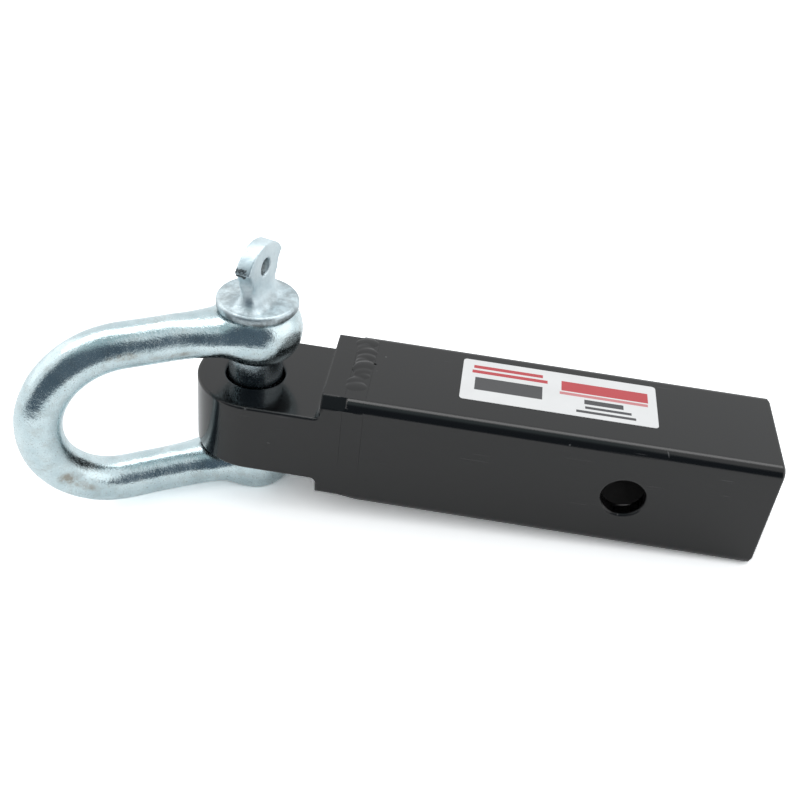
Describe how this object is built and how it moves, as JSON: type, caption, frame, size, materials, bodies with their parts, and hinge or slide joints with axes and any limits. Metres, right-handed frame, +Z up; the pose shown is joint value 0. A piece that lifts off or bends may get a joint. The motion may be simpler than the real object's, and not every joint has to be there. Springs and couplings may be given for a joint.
{
  "type": "hitch receiver clevis",
  "caption": "Hollow square receiver shank with a welded tongue that carries a swivelling screw pin D-shackle.",
  "frame": {"origin": "middle of the hitch pin bore, on the shank's axis", "axes": "+X along the shank to its open end, +Y across it along the hitch pin bore, +Z up along the shackle pin"},
  "size_m": [0.2957, 0.0804, 0.1118],
  "materials": {
    "black_paint": "gloss",
    "zinc_plate": "bright zinc plate",
    "label_paper": "matt"
  },
  "bodies": {
    "shank": {"shank_tube": "black_paint", "tongue_block": "black_paint", "weld_seam": "black_paint", "paper_label": "label_paper"},
    "shackle": {"shackle_bow": "zinc_plate"},
    "pin": {"screw_pin": "zinc_plate"}
  },
  "joints": [
    {"name": "shackle_swivel", "type": "hinge", "parent": "shank", "child": "shackle", "pos_m": [-0.1543, 0, 0], "axis": [0, 0, 1], "range_deg": [-159.5, 96.5]},
    {"name": "pin_draw", "type": "slide", "parent": "shackle", "child": "pin", "axis": [0, 0, 1], "range_m": [0, 0.088]}
  ]
}
